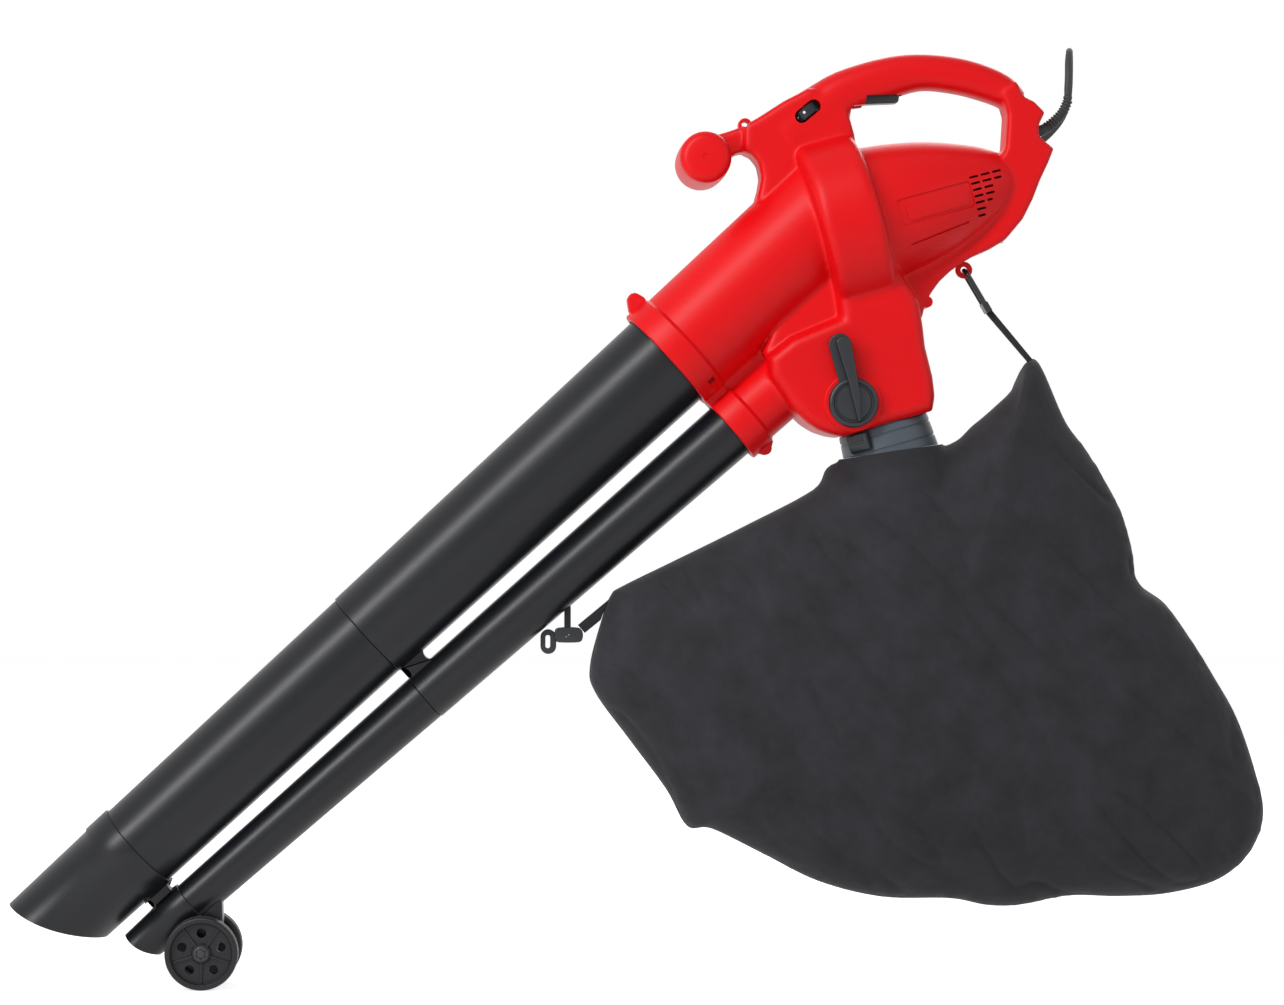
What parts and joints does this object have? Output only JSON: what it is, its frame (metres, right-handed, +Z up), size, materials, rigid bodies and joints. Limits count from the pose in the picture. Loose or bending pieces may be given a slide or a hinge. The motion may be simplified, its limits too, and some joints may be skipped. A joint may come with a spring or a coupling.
{
  "type": "leaf blower vacuum",
  "caption": "Hand-held electric leaf blower and vacuum with a suction tube and a slimmer blower tube side by side, wheels at the nozzle, a mode lever and a fabric collecting bag",
  "frame": {"origin": "In the middle of the grip's bar, on the mid-plane between the two housing shells, where the hand holds the machine", "axes": "X runs from the nozzle to the rear of the machine, Y to the user's right, Z up, in the position of use with the tubes pointing down and forwards"},
  "size_m": [1.192, 0.168, 0.8942],
  "materials": {
    "red_shell": "semi-gloss moulded",
    "tube_plastic": "satin moulded",
    "dark_plastic": "satin moulded",
    "collar_plastic": "satin moulded",
    "bag_fabric": "woven polyester",
    "webbing": "woven",
    "steel": "plain",
    "copper": "varnished winding",
    "rubber": "matt",
    "fan_plastic": "plain",
    "carbon": "plain"
  },
  "bodies": {
    "machine": {"housing_left": "red_shell", "housing_right": "red_shell", "housing_screw_arm": "steel", "housing_screw_column": "steel", "housing_screw_post": "steel", "housing_screw_tail": "steel", "housing_screw_rear": "steel", "housing_screw_outlet": "steel", "front_grip": "red_shell", "twin_tube_upper": "tube_plastic", "suction_tube_lower": "tube_plastic", "blower_tube_lower": "tube_plastic", "nozzle": "tube_plastic", "wheel_axle": "steel", "axle_clip_left": "steel", "axle_clip_right": "steel", "front_bearing": "steel", "rear_bearing": "steel", "stator": "steel", "field_coil_front": "copper", "field_coil_rear": "copper", "brush_ring": "dark_plastic", "brush_upper": "carbon", "brush_lower": "carbon", "trigger_pin": "steel", "power_switch": "dark_plastic", "trigger_spring": "steel", "bag_collar": "collar_plastic", "bag": "bag_fabric", "front_hook_pin": "steel", "cord_boot": "rubber", "power_cord": "rubber", "cord_plug": "rubber"},
    "rotor": {"motor_shaft": "steel", "impeller": "fan_plastic", "impeller_nut": "steel", "armature": "copper", "commutator": "copper"},
    "left_wheel": {"wheel_left": "dark_plastic"},
    "right_wheel": {"wheel_right": "dark_plastic"},
    "mode_control": {"mode_lever": "dark_plastic", "mode_shaft": "steel", "mode_flap": "dark_plastic"},
    "trigger_body": {"trigger": "dark_plastic"},
    "dial_body": {"speed_dial": "dark_plastic"},
    "latch_body": {"bag_latch": "dark_plastic"},
    "front_strap_body": {"front_hook": "dark_plastic", "front_strap": "webbing"},
    "rear_strap_body": {"rear_hook": "dark_plastic", "rear_strap": "webbing"}
  },
  "joints": [
    {"name": "rotor_spin", "type": "hinge", "parent": "machine", "child": "rotor", "pos_m": [-0.0812, 0, -0.1392], "axis": [0.9613, 0, 0.2756], "continuous": true},
    {"name": "wheel_left_spin", "type": "hinge", "parent": "machine", "child": "left_wheel", "pos_m": [-0.6875, -0.0294, -0.8246], "axis": [0, 1, 0], "continuous": true},
    {"name": "wheel_right_spin", "type": "hinge", "parent": "machine", "child": "right_wheel", "pos_m": [-0.6875, 0.0294, -0.8246], "axis": [0, 1, 0], "continuous": true},
    {"name": "mode_turn", "type": "hinge", "parent": "machine", "child": "mode_control", "pos_m": [-0.0779, 0, -0.3097], "axis": [0, 1, 0], "range_deg": [0, 90]},
    {"name": "trigger_press", "type": "hinge", "parent": "machine", "child": "trigger_body", "pos_m": [-0.0705, 0, -0.0175], "axis": [0, -1, 0], "range_deg": [0, 9], "stiffness_Nm_per_rad": 0.6, "springref_deg": -5.73, "deforming": ["trigger_spring"]},
    {"name": "speed_dial_turn", "type": "hinge", "parent": "machine", "child": "dial_body", "pos_m": [-0.1178, -0.0137, -0.0332], "axis": [-0.6428, 0, 0.766], "range_deg": [0, 300]},
    {"name": "bag_latch_press", "type": "hinge", "parent": "machine", "child": "latch_body", "pos_m": [-0.06645, -0.0345, -0.35551], "axis": [0.7364, -0.6428, 0.2111], "range_deg": [0, 8], "stiffness_Nm_per_rad": 0.4, "springref_deg": -5.73},
    {"name": "front_hook_swing", "type": "hinge", "parent": "machine", "child": "front_strap_body", "pos_m": [-0.3444, 0, -0.5298], "axis": [0, -1, 0], "range_deg": [0, 15]},
    {"name": "rear_hook_swing", "type": "hinge", "parent": "machine", "child": "rear_strap_body", "pos_m": [0.034, 0, -0.1815], "axis": [0, -1, 0], "range_deg": [0, 20]}
  ]
}
